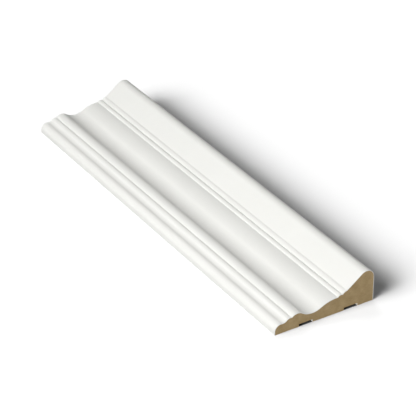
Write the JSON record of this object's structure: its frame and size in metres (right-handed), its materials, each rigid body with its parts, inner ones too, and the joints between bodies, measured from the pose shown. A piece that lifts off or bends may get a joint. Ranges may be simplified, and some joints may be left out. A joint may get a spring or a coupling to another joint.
{
  "type": "casing moulding",
  "caption": "Straight length of MDF door and window casing with a white film, a face of beads and hollows rising to a thick rounded outer edge, and relief grooves in its back.",
  "frame": {"origin": "centre of the back plane, at mid length and mid width", "axes": "+X along the length, +Y across the width towards the thick outer edge, +Z out of the back plane towards the moulded face"},
  "size_m": [0.366, 0.09, 0.0286],
  "materials": {
    "mdf": "bare sawn medium-density fibreboard",
    "white_film": "satin white"
  },
  "bodies": {
    "root": {"mdf_core": "mdf", "white_film": "white_film"}
  },
  "joints": []
}
